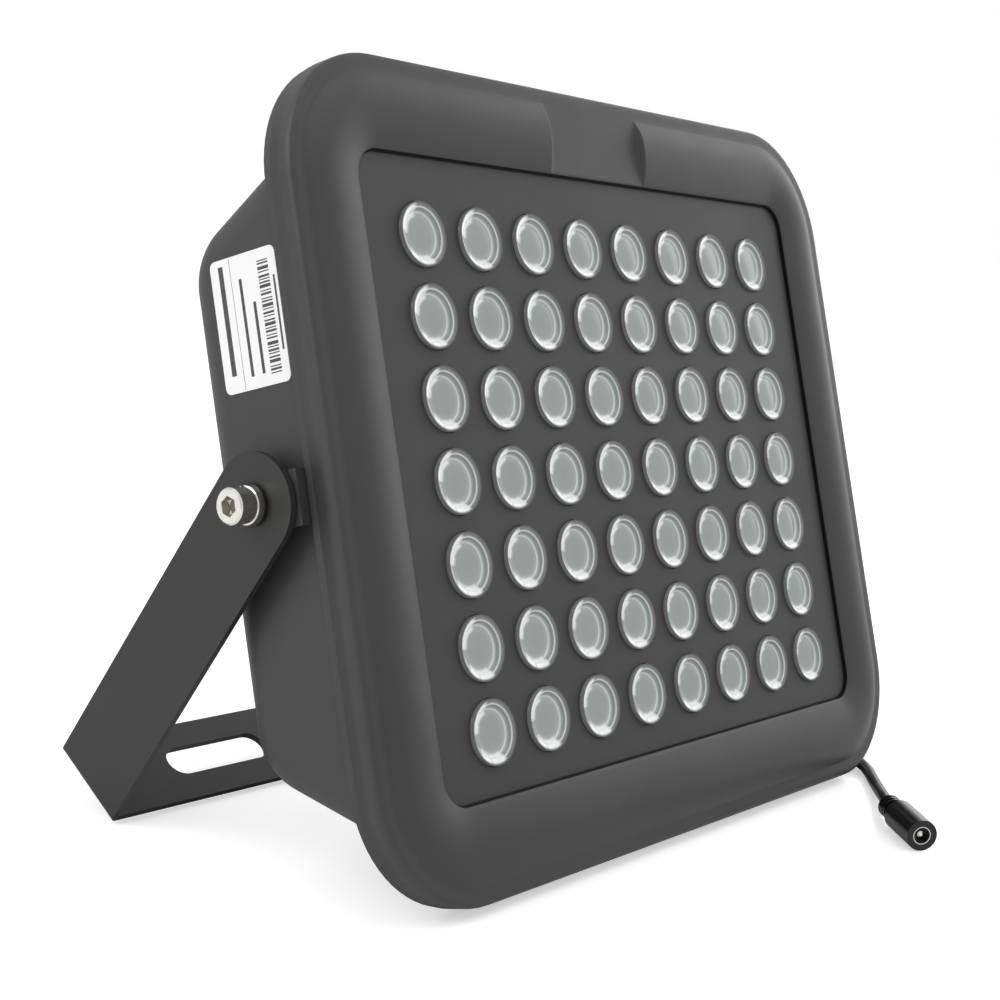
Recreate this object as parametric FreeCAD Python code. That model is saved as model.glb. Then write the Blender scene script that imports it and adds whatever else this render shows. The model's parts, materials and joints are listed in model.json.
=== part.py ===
"""Infrared illuminator: a cast floodlight body with 56 lensed emitters on a U bracket.

Millimetres, +X to the right seen from the front, the lamp faces -Y, +Z is up.
The lamp stands as it is photographed: it leans back on the lower rear edge of its
body, and the folded bracket behind it is its second foot. The origin is at the
middle of the footprint box, on the floor.

The head is drawn in a frame of its own before it is leaned back: X across, Y as the
depth behind the lens rims, Z as the height above the pivot and the lens centre.
"""
import FreeCAD, Part
import math
import os
from FreeCAD import Placement, Rotation, Vector

# Attitude of the lamp on the floor
LEAN = 20.2
HEAD_RISE = 2.4

# Front bezel
BEZEL_WIDTH = 282.0
BEZEL_HEIGHT = 236.5
BEZEL_CORNER = 38.0
BEZEL_FRONT = -0.8
BEZEL_REAR = 7.0
BEZEL_WALL = 4.0
BEZEL_EDGE = 1.4
BAND_SIDE = 26.0
BAND_END = 27.25
OPENING_CORNER = 9.0
LAND_WIDTH = 5.5
CROWN_HEIGHT = 3.4
CROWN_STEPS = 3
NOTCH_WIDTH = 55.0

# Front panel and lens grid
PANEL_FRONT = 0.8
PANEL_THICK = 2.0
PANEL_OVERLAP = 4.0
PANEL_CORNER = 12.0
LENS_COLUMNS = 8
LENS_ROWS = 7
COLUMN_PITCH = 25.8
ROW_PITCH = 23.5
LENS_DIAMETER = 18.9
LENS_DISH_DIAMETER = 14.8
LENS_DISH_DEPTH = 2.6
LENS_CLEARANCE = 0.2
EMITTER_SIZE = 4.0
EMITTER_HEIGHT = 1.6
BOARD_FRONT = 12.0

# Emitter board and the plate that carries it
BOARD_THICK = 1.6
BOARD_MARGIN = 14.0
BOARD_END_MARGIN = 3.5
PLATE_THICK = 2.0
PLATE_MARGIN = 24.0
PLATE_CORNER = 6.0
PLATE_SCREW_MARGIN = 18.0
PLATE_SCREW_LENGTH = 12.0
PILLAR_DIAMETER = 9.2

# Housing
BODY_SIDE_SHOULDER = 2.25
BODY_END_SHOULDER = 26.25
BODY_DEPTH = 49.5
BODY_SLOPE = 25.4
BODY_WALL = 3.2
BODY_BACK_ROUND = 20.0
BODY_END_ROUND = 12.0
CAVITY_CHAMFER = 0.45
RIM_FRONT = 7.4
RIM_REAR = 10.5
RIM_INSET = 0.4
RIM_EDGE = 0.8
RIM_SCREW_INSET = 14.5
RIM_SCREW_SIDE_INSET = 37.0
BEZEL_HOLE_DEPTH = 6.0
SPIGOT_FRONT = 4.0
SPIGOT_THICK = 2.4
FIT_GAP = 0.3
GASKET_WIDTH = 2.0

# Fasteners: M6 pivot screws, M4 and M3 machine screws
M6 = 6.0
M6_HEAD_DIAMETER = 10.0
M6_HEAD_LENGTH = 6.0
M6_HEX = 5.0
M6_HEX_DEPTH = 3.0
PIVOT_SCREW_LENGTH = 16.0
FLAT_WASHER_DIAMETER = 11.6
FLAT_WASHER_THICK = 1.2
LOCK_WASHER_DIAMETER = 10.6
LOCK_WASHER_THICK = 1.5
WASHER_BORE = 6.4
M4 = 4.0
M4_HEAD_DIAMETER = 7.4
M4_HEAD_LENGTH = 2.6
M3 = 3.0
M3_HEAD_DIAMETER = 5.6
M3_HEAD_LENGTH = 2.0
THREAD_PLAY = 0.05
SCREW_PLAY = 0.25

# Lugs on the housing and the folded bracket
PIVOT_DEPTH = 25.1
LUG_HEIGHT = 15.0
LUG_STANDOFF = 5.0
LUG_INNER_DIAMETER = 14.0
LUG_INNER_LENGTH = 6.0
STRIP_WIDTH = 28.3
STRIP_THICK = 2.0
ARM_GAP = 0.3
BRACKET_REACH = 110.6
FOLD_INNER_RADIUS = 0.8
ARM_HOLE = 6.6
SLOT_LENGTH = 39.8
SLOT_WIDTH = 10.4
SLOT_CENTRE = 95.2
CENTRE_HOLE = 10.5

# Driver
DRIVER_WIDTH = 92.0
DRIVER_HEIGHT = 46.0
DRIVER_THICK = 1.6
DRIVER_X = -7.0
DRIVER_Z = 8.0
DRIVER_STANDOFF = 14.0
DRIVER_HOLE_INSET = 4.5
DRIVER_SCREW_BITE = 5.0
STANDOFF_DIAMETER = 6.8
COIL_DIAMETER = 18.0
COIL_BORE = 8.0
COIL_HEIGHT = 8.0
COIL_OFFSET = -6.0
CAPACITOR_DIAMETER = 8.0
CAPACITOR_HEIGHT = 12.0
CAPACITOR_OFFSETS = (12.0, 22.5)
CAPACITOR_RISE = 6.0
REGULATOR_LENGTH = 16.0
REGULATOR_HEIGHT = 4.5
REGULATOR_WIDTH = 10.0
REGULATOR_OFFSET = 10.0
REGULATOR_DROP = 14.0
TERMINAL_X = 33.0
TERMINAL_LENGTH = 8.0
TERMINAL_HEIGHT = 12.0
TERMINAL_WIDTH = 11.0

# Cable gland on the sloping underside
GLAND_X = -40.0
GLAND_DEPTH = 20.5
GLAND_BOSS = 1.75
GLAND_PAD_DIAMETER = 17.0
GLAND_THREAD = 10.0
GLAND_THREAD_LENGTH = 13.0
GLAND_COLLAR_LENGTH = 3.0
GLAND_HEX = 14.0
GLAND_HEX_THICK = 2.4
GLAND_NUT_LENGTH = 5.6
GLAND_FACING_DIAMETER = 17.0
LOCKNUT_THICK = 2.5
INNER_PAD_LENGTH = 9.0
GLAND_RELIEF = 0.4

# Lead and low-voltage socket
CORD_DIAMETER = 4.2
CONNECTOR_DIAMETER = 10.4
CONNECTOR_LENGTH = 19.0
BOOT_DIAMETER = 8.0
BOOT_LENGTH = 9.5
SLEEVE_DIAMETER = 6.0
SLEEVE_BORE = 5.5
SOCKET_DEPTH = 9.5
PIN_DIAMETER = 2.1
CORD_START_DEPTH = 5.4
CORD_DROP = 6.5

# Inner wires
LEAD_DIAMETER = 1.2
LEAD_SPACING = 1.8
LEAD_HOLE = 3.4

# Rating plate area on the left side wall
LABEL_DEPTH = 25.0
LABEL_HEIGHT = 36.6
LABEL_THICK = 0.25
LABEL_FRONT = 11.5
LABEL_BOTTOM = 31.0
LABEL_CORNER = 2.0

X_AXIS = Vector(1, 0, 0)
Y_AXIS = Vector(0, 1, 0)
Z_AXIS = Vector(0, 0, 1)


def rounded_outline(half_x, half_z, radius, depth, centre_z=0.0):
    """Closed wire of a rounded rectangle in the plane at this depth."""
    bend = radius * math.sqrt(0.5)
    edges = []
    corners = [(1, 1), (-1, 1), (-1, -1), (1, -1)]
    ends = []
    for sx, sz in corners:
        cx, cz = sx * (half_x - radius), centre_z + sz * (half_z - radius)
        side = Vector(cx + sx * radius, depth, cz)
        cap = Vector(cx, depth, cz + sz * radius)
        middle = Vector(cx + sx * bend, depth, cz + sz * bend)
        first, last = (side, cap) if sx == sz else (cap, side)
        edges.append(Part.Arc(first, middle, last).toShape())
        ends.append((first, last))
    for index in range(4):
        edges.append(Part.LineSegment(ends[index][1], ends[(index + 1) % 4][0]).toShape())
    return Part.Wire(Part.__sortEdges__(edges))


def rounded_block(half_x, half_z, radius, front, rear, centre_z=0.0):
    """Rounded rectangle extruded between two depths."""
    face = Part.Face(rounded_outline(half_x, half_z, radius, front, centre_z))
    return face.extrude(Vector(0, rear - front, 0))


def ring_block(half_x, half_z, radius, width, front, rear, centre_z=0.0):
    """Rounded rectangular ring of this radial width."""
    outer = rounded_block(half_x, half_z, radius, front, rear, centre_z)
    inner_radius = max(radius - width, 1.0)
    inner = rounded_block(half_x - width, half_z - width, inner_radius, front - 1, rear + 1, centre_z)
    return outer.cut(inner)


def rod(radius, length, base, direction):
    return Part.makeCylinder(radius, length, base, direction)


def tube(outer_radius, bore_radius, length, base, direction):
    return rod(outer_radius, length, base, direction).cut(rod(bore_radius, length, base, direction))


def hex_prism(across_flats, length, base, direction):
    """Hexagonal prism along an axis, flats across the given size."""
    radius = across_flats / math.sqrt(3.0)
    points = [Vector(radius * math.cos(math.radians(60 * i)), radius * math.sin(math.radians(60 * i)), 0)
              for i in range(7)]
    prism = Part.Face(Part.makePolygon(points)).extrude(Vector(0, 0, length))
    prism.Placement = Placement(base, Rotation(Z_AXIS, direction))
    return prism


def edges_where(shape, test):
    return [edge for edge in shape.Edges if test(edge.BoundBox)]


def fused(shapes):
    result = shapes[0].multiFuse(shapes[1:]) if len(shapes) > 1 else shapes[0]
    return result.removeSplitter()


def grid_points():
    """Centres of the lenses, by row and column."""
    points = []
    for row in range(LENS_ROWS):
        for column in range(LENS_COLUMNS):
            points.append((COLUMN_PITCH * (column - (LENS_COLUMNS - 1) / 2.0),
                           ROW_PITCH * ((LENS_ROWS - 1) / 2.0 - row)))
    return points


def symmetric(xs, zs):
    return [(x, z) for z in zs for x in xs]


# Places that several pieces share
BODY_WIDTH = BEZEL_WIDTH - 2 * BODY_SIDE_SHOULDER
BODY_FRONT_HEIGHT = BEZEL_HEIGHT - 2 * BODY_END_SHOULDER
OPENING_WIDTH = BEZEL_WIDTH - 2 * BAND_SIDE
OPENING_HEIGHT = BEZEL_HEIGHT - 2 * BAND_END
SLOPE_RATIO = math.tan(math.radians(BODY_SLOPE))
GLAND_SKIN = BODY_FRONT_HEIGHT / 2.0 - (GLAND_DEPTH - RIM_REAR) * SLOPE_RATIO
GLAND_FACE = GLAND_SKIN + GLAND_BOSS
LOCKNUT_SEAT = GLAND_SKIN - INNER_PAD_LENGTH - 0.4
BOARD_REAR = BOARD_FRONT + BOARD_THICK
PLATE_REAR = BOARD_REAR + PLATE_THICK
BODY_INNER_BACK = BODY_DEPTH - BODY_WALL
ARM_INNER = BODY_WIDTH / 2.0 + LUG_STANDOFF + ARM_GAP
ARM_OUTER = ARM_INNER + STRIP_THICK
SPAN_X = COLUMN_PITCH * (LENS_COLUMNS - 1) / 2.0
SPAN_Z = ROW_PITCH * (LENS_ROWS - 1) / 2.0
BOARD_HALF_X = SPAN_X + BOARD_MARGIN
BOARD_HALF_Z = SPAN_Z + BOARD_END_MARGIN
PLATE_HALF_X = SPAN_X + PLATE_MARGIN
PLATE_HALF_Z = SPAN_Z + BOARD_END_MARGIN
RIM_SCREW_X = BEZEL_WIDTH / 2.0 - RIM_SCREW_SIDE_INSET
RIM_SCREWS = symmetric((-RIM_SCREW_X, 0.0, RIM_SCREW_X), (-1, 1))
PLATE_SCREW_X = SPAN_X + PLATE_SCREW_MARGIN
PLATE_SCREW_Z = SPAN_Z - ROW_PITCH / 2.0
PLATE_SCREWS = symmetric((-PLATE_SCREW_X, PLATE_SCREW_X), (-PLATE_SCREW_Z, PLATE_SCREW_Z))
DRIVER_FACE = BODY_INNER_BACK - DRIVER_STANDOFF


def rim_screw_points():
    half = BEZEL_HEIGHT / 2.0 - RIM_SCREW_INSET
    return [(x, HEAD_RISE + side * half) for x, side in RIM_SCREWS]


def crown_sections(start, end, steps):
    """Outlines over the raised band, from one distance inside the outer edge to another."""
    chord = BAND_SIDE - LAND_WIDTH
    end_share = (BAND_END - LAND_WIDTH) / chord
    radius = (chord ** 2 / 4.0 + CROWN_HEIGHT ** 2) / (2.0 * CROWN_HEIGHT)
    middle = LAND_WIDTH + chord / 2.0
    wires = []
    for index in range(steps + 1):
        inset = start + (end - start) * index / steps
        rise = math.sqrt(radius ** 2 - (inset - middle) ** 2) - (radius - CROWN_HEIGHT)
        end_inset = LAND_WIDTH + (inset - LAND_WIDTH) * end_share
        corner = BEZEL_CORNER - inset * (BEZEL_CORNER - OPENING_CORNER) / BAND_SIDE
        wires.append(rounded_outline(BEZEL_WIDTH / 2.0 - inset, BEZEL_HEIGHT / 2.0 - end_inset,
                                     corner, BEZEL_FRONT - rise, HEAD_RISE))
    return wires


def make_bezel():
    """Cast frame: flat land, arched crown broken by a notch, side wall and screw posts."""
    half_x, half_z = BEZEL_WIDTH / 2.0, BEZEL_HEIGHT / 2.0
    middle = (LAND_WIDTH + BAND_SIDE) / 2.0
    base = rounded_block(half_x, half_z, BEZEL_CORNER, BEZEL_FRONT, BEZEL_REAR, HEAD_RISE)
    front_edges = edges_where(base, lambda box: box.YMax < BEZEL_FRONT + 0.01)
    base = base.makeFillet(BEZEL_EDGE, front_edges)
    hill = Part.makeLoft(crown_sections(LAND_WIDTH, middle, CROWN_STEPS), True, False)
    bowl = Part.makeLoft(crown_sections(middle, BAND_SIDE, CROWN_STEPS), True, False)
    crown = hill.cut(bowl)
    notch_floor = half_z + HEAD_RISE
    notch = Part.makeBox(NOTCH_WIDTH, 2 * CROWN_HEIGHT, half_z, Vector(-NOTCH_WIDTH / 2.0,
                         BEZEL_FRONT - 2 * CROWN_HEIGHT, notch_floor - half_z + 1))
    crown = crown.cut(notch)
    opening = rounded_block(OPENING_WIDTH / 2.0, OPENING_HEIGHT / 2.0, OPENING_CORNER,
                            BEZEL_FRONT - 2 * CROWN_HEIGHT, BEZEL_REAR + 1, HEAD_RISE)
    panel_seat = rounded_block(OPENING_WIDTH / 2.0 + PANEL_OVERLAP + FIT_GAP,
                               OPENING_HEIGHT / 2.0 + PANEL_OVERLAP + FIT_GAP,
                               PANEL_CORNER + FIT_GAP, PANEL_FRONT, BEZEL_REAR + 1, HEAD_RISE)
    pocket = rounded_block(half_x - BEZEL_WALL, half_z - BEZEL_WALL, BEZEL_CORNER - BEZEL_WALL,
                           PANEL_FRONT + PANEL_THICK, BEZEL_REAR + 1, HEAD_RISE)
    frame = base.cut(panel_seat).cut(pocket)
    top = PANEL_FRONT + PANEL_THICK - 1.0
    posts = [rod(M4, RIM_FRONT - top, Vector(x, top, z), Y_AXIS) for x, z in rim_screw_points()]
    frame = fused([frame, crown] + posts).cut(opening)
    holes = [rod(M4 / 2.0, BEZEL_HOLE_DEPTH + 1, Vector(x, RIM_FRONT - BEZEL_HOLE_DEPTH, z), Y_AXIS)
             for x, z in rim_screw_points()]
    return frame.cut(Part.makeCompound(holes))


def make_panel():
    """Matt plate with one round hole for each lens."""
    plate = rounded_block(OPENING_WIDTH / 2.0 + PANEL_OVERLAP, OPENING_HEIGHT / 2.0 + PANEL_OVERLAP,
                          PANEL_CORNER, PANEL_FRONT, PANEL_FRONT + PANEL_THICK, HEAD_RISE)
    hole_radius = LENS_DIAMETER / 2.0 + LENS_CLEARANCE
    holes = [rod(hole_radius, PANEL_THICK + 2, Vector(x, PANEL_FRONT - 1, z), Y_AXIS)
             for x, z in grid_points()]
    return plate.cut(Part.makeCompound(holes))


def make_lenses():
    """Lenses: a round block over each emitter with a dished front inside its rim."""
    block = rod(LENS_DIAMETER / 2.0, BOARD_FRONT - EMITTER_HEIGHT, Vector(0, 0, 0), Y_AXIS)
    dish = rod(LENS_DISH_DIAMETER / 2.0, LENS_DISH_DEPTH + 1, Vector(0, -1, 0), Y_AXIS)
    lens = block.cut(dish)
    return [lens.translated(Vector(x, 0, z)) for x, z in grid_points()]


def make_emitters():
    """Surface-mounted emitters, one under each lens."""
    side = EMITTER_SIZE
    return [Part.makeBox(side, EMITTER_HEIGHT, side,
                         Vector(x - side / 2.0, BOARD_FRONT - EMITTER_HEIGHT, z - side / 2.0))
            for x, z in grid_points()]


def make_board():
    """Aluminium-backed emitter board with screw holes between the lenses."""
    board = rounded_block(BOARD_HALF_X, BOARD_HALF_Z, PLATE_CORNER, BOARD_FRONT, BOARD_REAR)
    holes = [rod(M3 / 2.0 + SCREW_PLAY, BOARD_THICK + 2, Vector(x, BOARD_FRONT - 1, z), Y_AXIS)
             for x, z in board_screw_points()]
    holes += [rod(LEAD_DIAMETER / 2.0 + THREAD_PLAY, BOARD_THICK + 2, Vector(x, BOARD_FRONT - 1, z), Y_AXIS)
              for x, z in led_lead_points()]
    return board.cut(Part.makeCompound(holes)).cut(gland_relief())


def board_screw_points():
    xs = [COLUMN_PITCH * step for step in (-3, 3)]
    zs = [ROW_PITCH * step for step in (-2.5, 2.5)]
    return symmetric(xs, zs)


def make_plate():
    """Mounting plate behind the board, screwed to pillars in the housing."""
    plate = rounded_block(PLATE_HALF_X, PLATE_HALF_Z, PLATE_CORNER, BOARD_REAR, PLATE_REAR)
    holes = [rod(M3 / 2.0, PLATE_THICK + 2, Vector(x, BOARD_REAR - 1, z), Y_AXIS)
             for x, z in board_screw_points()]
    holes += [rod(M4 / 2.0 + SCREW_PLAY, PLATE_THICK + 2, Vector(x, BOARD_REAR - 1, z), Y_AXIS)
              for x, z in PLATE_SCREWS]
    holes += [rod(LEAD_HOLE / 2.0, PLATE_THICK + 2, Vector(x, BOARD_REAR - 1, z), Y_AXIS)
              for x, z in led_lead_points()]
    return plate.cut(Part.makeCompound(holes)).cut(gland_relief())


def pan_screw(size, head_diameter, head_length, length, seat, direction):
    """Plain machine screw; seat is the point under its head, direction runs to its tip."""
    top = seat - direction * head_length
    head = rod(head_diameter / 2.0, head_length, top, direction)
    shank = rod(size / 2.0 - THREAD_PLAY, length, seat, direction)
    return head.fuse(shank).removeSplitter()


def make_board_screws():
    return [pan_screw(M3, M3_HEAD_DIAMETER, M3_HEAD_LENGTH, BOARD_THICK + PLATE_THICK,
                      Vector(x, BOARD_FRONT, z), Y_AXIS) for x, z in board_screw_points()]


def make_plate_screws():
    return [pan_screw(M4, M4_HEAD_DIAMETER, M4_HEAD_LENGTH, PLATE_SCREW_LENGTH,
                      Vector(x, BOARD_REAR, z), Y_AXIS) for x, z in PLATE_SCREWS]


def make_rim_screws():
    """Screws that hold the bezel, put in from behind through the housing rim."""
    length = RIM_REAR - RIM_FRONT + BEZEL_HOLE_DEPTH - 0.6
    return [pan_screw(M4, M4_HEAD_DIAMETER, M4_HEAD_LENGTH, length,
                      Vector(x, RIM_REAR, z), Y_AXIS * -1) for x, z in rim_screw_points()]


def body_block(inset, front):
    """Trapezoid body with rounded back corners and ends; inset by a wall it is chamfered."""
    back = BODY_DEPTH - inset
    half_x = BODY_WIDTH / 2.0 - inset
    half_front = BODY_FRONT_HEIGHT / 2.0 - inset / math.cos(math.radians(BODY_SLOPE))
    front_z = half_front + (RIM_REAR - front) * SLOPE_RATIO
    back_z = half_front - (back - RIM_REAR) * SLOPE_RATIO
    points = [Vector(-half_x, front, front_z), Vector(-half_x, back, back_z),
              Vector(-half_x, back, -back_z), Vector(-half_x, front, -front_z)]
    block = Part.Face(Part.makePolygon(points + points[:1])).extrude(Vector(2 * half_x, 0, 0))
    long_edges = edges_where(block, lambda box: box.YMin > back - 0.01 and box.XLength > half_x)
    if inset > 0:
        block = block.makeChamfer(BODY_BACK_ROUND * CAVITY_CHAMFER, long_edges)
    else:
        block = block.makeFillet(BODY_BACK_ROUND, long_edges)
    end_edges = edges_where(block, lambda box: box.XLength < 0.01 and box.YMax > front + 0.01)
    if inset > 0:
        return block.makeChamfer(BODY_END_ROUND * CAVITY_CHAMFER, end_edges)
    return block.makeFillet(BODY_END_ROUND, end_edges)


def make_housing():
    """Die-cast tray: rim, spigot, sloping body, pivot lugs, pillars and gland pad."""
    rim_x = BEZEL_WIDTH / 2.0 - RIM_INSET
    rim_z = BEZEL_HEIGHT / 2.0 - RIM_INSET
    rim = rounded_block(rim_x, rim_z, BEZEL_CORNER - RIM_INSET, RIM_FRONT, RIM_REAR, HEAD_RISE)
    rear_edges = edges_where(rim, lambda box: box.YMin > RIM_REAR - 0.01)
    rim = rim.makeChamfer(RIM_EDGE, rear_edges)
    spigot_inset = BEZEL_WALL + FIT_GAP
    spigot = ring_block(BEZEL_WIDTH / 2.0 - spigot_inset, BEZEL_HEIGHT / 2.0 - spigot_inset,
                        BEZEL_CORNER - spigot_inset, SPIGOT_THICK, SPIGOT_FRONT, RIM_FRONT + 1, HEAD_RISE)
    outer = body_block(0.0, RIM_REAR - 1.0)
    cavity = body_block(BODY_WALL, RIM_FRONT - 1.0)
    half_x = BODY_WIDTH / 2.0
    lug_base = half_x - BODY_WALL - LUG_INNER_LENGTH
    lugs, inner_lugs, holes = [], [], []
    for side in (-1, 1):
        outward = X_AXIS * side
        start = Vector(side * (half_x - 1.0), PIVOT_DEPTH, 0)
        lugs.append(rod(LUG_HEIGHT / 2.0, LUG_STANDOFF + 1.0, start, outward))
        rib_x = half_x - 1.0 if side > 0 else -half_x - LUG_STANDOFF
        lugs.append(Part.makeBox(LUG_STANDOFF + 1.0, PIVOT_DEPTH - RIM_REAR + 0.5, LUG_HEIGHT,
                                 Vector(rib_x, RIM_REAR - 0.5, -LUG_HEIGHT / 2.0)))
        inner_lugs.append(rod(LUG_INNER_DIAMETER / 2.0, LUG_INNER_LENGTH + 1.0,
                              Vector(side * lug_base, PIVOT_DEPTH, 0), outward))
        depth = LUG_STANDOFF + BODY_WALL + LUG_INNER_LENGTH - 1.0
        holes.append(rod(M6 / 2.0, depth, Vector(side * (half_x + LUG_STANDOFF), PIVOT_DEPTH, 0),
                         outward * -1))
    pillars = [rod(PILLAR_DIAMETER / 2.0, BODY_DEPTH - BODY_WALL / 2.0 - PLATE_REAR, Vector(x, PLATE_REAR, z),
                   Y_AXIS) for x, z in PLATE_SCREWS]
    holes += [rod(M4 / 2.0, PLATE_SCREW_LENGTH, Vector(x, PLATE_REAR - 0.5, z), Y_AXIS)
              for x, z in PLATE_SCREWS]
    standoffs = [rod(STANDOFF_DIAMETER / 2.0, DRIVER_STANDOFF + 1.0, Vector(x, DRIVER_FACE, z), Y_AXIS)
                 for x, z in driver_holes()]
    holes += [rod(M3 / 2.0, DRIVER_STANDOFF - 1.0, Vector(x, DRIVER_FACE - 0.5, z), Y_AXIS)
              for x, z in driver_holes()]
    holes += [rod(M4 / 2.0 + SCREW_PLAY, RIM_REAR, Vector(x, RIM_FRONT - 1.0, z), Y_AXIS)
              for x, z in rim_screw_points()]
    pad = rod(GLAND_PAD_DIAMETER / 2.0, GLAND_BOSS + 6.0, gland_point(GLAND_FACE), Z_AXIS)
    inner_pad = rod(GLAND_PAD_DIAMETER / 2.0, INNER_PAD_LENGTH, gland_point(LOCKNUT_SEAT + INNER_PAD_LENGTH),
                    Z_AXIS)
    holes.append(rod(GLAND_THREAD / 2.0, 30.0, gland_point(GLAND_FACE + 1.0), Z_AXIS))
    facing = rod(GLAND_FACING_DIAMETER / 2.0, 12.0, gland_point(GLAND_FACE + 12.0), Z_AXIS)
    shell = fused([rim, spigot, outer, pad] + lugs).cut(cavity).cut(facing)
    shell = fused([shell, inner_pad] + inner_lugs + pillars + standoffs)
    return shell.cut(Part.makeCompound(holes))


def make_gasket():
    """Rubber ring squeezed between the bezel and the spigot."""
    inset = BEZEL_WALL + FIT_GAP
    return ring_block(BEZEL_WIDTH / 2.0 - inset, BEZEL_HEIGHT / 2.0 - inset, BEZEL_CORNER - inset,
                      GASKET_WIDTH, PANEL_FRONT + PANEL_THICK, SPIGOT_FRONT, HEAD_RISE)


def make_label():
    """Bare self-adhesive plate on the left side wall."""
    face_x = -BODY_WIDTH / 2.0
    half_y, half_z = LABEL_DEPTH / 2.0, LABEL_HEIGHT / 2.0
    plate = rounded_block(half_y, half_z, LABEL_CORNER, 0, LABEL_THICK)
    plate.Placement = Placement(Vector(face_x, LABEL_FRONT + half_y, LABEL_BOTTOM + half_z),
                                Rotation(Z_AXIS, 90))
    return plate


def make_pivot_screws():
    """Socket cap screws that clamp the bracket arms to the lugs."""
    screws = []
    stack = ARM_OUTER + FLAT_WASHER_THICK + LOCK_WASHER_THICK
    for side in (-1, 1):
        inward = X_AXIS * -side
        seat = Vector(side * stack, PIVOT_DEPTH, 0)
        top = seat - inward * M6_HEAD_LENGTH
        head = rod(M6_HEAD_DIAMETER / 2.0, M6_HEAD_LENGTH, top, inward)
        head = head.makeChamfer(0.5, edges_where(head, lambda box: abs(abs(box.Center.x) - abs(top.x)) < 0.01
                                                 and box.XLength < 0.01 and box.ZLength > M6))
        shank = rod(M6 / 2.0 - THREAD_PLAY, PIVOT_SCREW_LENGTH, seat, inward)
        socket = hex_prism(M6_HEX, M6_HEX_DEPTH, top, inward)
        screws.append(head.fuse(shank).removeSplitter().cut(socket))
    return screws


def make_washers(diameter, thick, start):
    """One washer a side, with its inner face this far out."""
    return [tube(diameter / 2.0, WASHER_BORE / 2.0, thick, Vector(side * start, PIVOT_DEPTH, 0),
                 X_AXIS * side) for side in (-1, 1)]


def make_lock_washers():
    """Spring washers, each one turn of square wire with a slit."""
    start = ARM_OUTER + FLAT_WASHER_THICK
    washers = make_washers(LOCK_WASHER_DIAMETER, LOCK_WASHER_THICK, start)
    slit = Part.makeBox(4 * LOCK_WASHER_THICK + 2 * start, 1.0, LOCK_WASHER_DIAMETER,
                        Vector(-2 * LOCK_WASHER_THICK - start, PIVOT_DEPTH - 0.5, 0))
    return [washer.cut(slit) for washer in washers]


def make_bracket():
    """Folded strip: two arms with rounded ends and a slotted crossbar, pivot at the origin."""
    half = STRIP_WIDTH / 2.0
    bend = FOLD_INNER_RADIUS
    outer = Part.makeBox(2 * ARM_OUTER, STRIP_WIDTH, BRACKET_REACH, Vector(-ARM_OUTER, -half, -BRACKET_REACH))
    inner = Part.makeBox(2 * ARM_INNER, STRIP_WIDTH + 2, BRACKET_REACH,
                         Vector(-ARM_INNER, -half - 1, -BRACKET_REACH + STRIP_THICK))
    inner_edges = edges_where(inner, lambda box: box.ZMax < -BRACKET_REACH + STRIP_THICK + 0.01
                              and box.YLength > STRIP_WIDTH)
    inner = inner.makeFillet(bend, inner_edges)
    outer_edges = edges_where(outer, lambda box: box.ZMax < -BRACKET_REACH + 0.01
                              and box.YLength > STRIP_WIDTH - 1 and box.XLength < 0.01)
    outer = outer.makeFillet(bend + STRIP_THICK * 0.5, outer_edges)
    ends = [rod(half, STRIP_THICK, Vector(side * ARM_INNER, 0, 0), X_AXIS * side) for side in (-1, 1)]
    strip = fused([outer.cut(inner)] + ends)
    cuts = [rod(ARM_HOLE / 2.0, 2 * ARM_OUTER + 2, Vector(-ARM_OUTER - 1, 0, 0), X_AXIS)]
    straight = SLOT_LENGTH - SLOT_WIDTH
    floor = Vector(0, 0, -BRACKET_REACH - 1)
    deep = STRIP_THICK + 2
    for side in (-1, 1):
        middle = floor + X_AXIS * (side * SLOT_CENTRE)
        cuts.append(Part.makeBox(straight, SLOT_WIDTH, deep,
                                 middle - Vector(straight / 2.0, SLOT_WIDTH / 2.0, 0)))
        for end in (-1, 1):
            cuts.append(rod(SLOT_WIDTH / 2.0, deep, middle + X_AXIS * (end * straight / 2.0), Z_AXIS))
    cuts.append(rod(CENTRE_HOLE / 2.0, deep, floor, Z_AXIS))
    return strip.cut(fused(cuts[1:-1])).cut(cuts[0]).cut(cuts[-1])


def led_lead_points():
    return [(DRIVER_X + TERMINAL_X + side * 3.0, DRIVER_Z + 3.75) for side in (-0.7, 0.7)]


def driver_holes():
    half_x = DRIVER_WIDTH / 2.0 - DRIVER_HOLE_INSET
    half_z = DRIVER_HEIGHT / 2.0 - DRIVER_HOLE_INSET
    return [(DRIVER_X + sx * half_x, DRIVER_Z + sz * half_z) for sx in (-1, 1) for sz in (-1, 1)]


def make_driver_board():
    half_x, half_z = DRIVER_WIDTH / 2.0, DRIVER_HEIGHT / 2.0
    board = Part.makeBox(DRIVER_WIDTH, DRIVER_THICK, DRIVER_HEIGHT,
                         Vector(DRIVER_X - half_x, DRIVER_FACE - DRIVER_THICK, DRIVER_Z - half_z))
    holes = [rod(M3 / 2.0 + SCREW_PLAY, DRIVER_THICK + 2, Vector(x, DRIVER_FACE - DRIVER_THICK - 1, z),
                 Y_AXIS) for x, z in driver_holes()]
    return board.cut(Part.makeCompound(holes))


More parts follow.
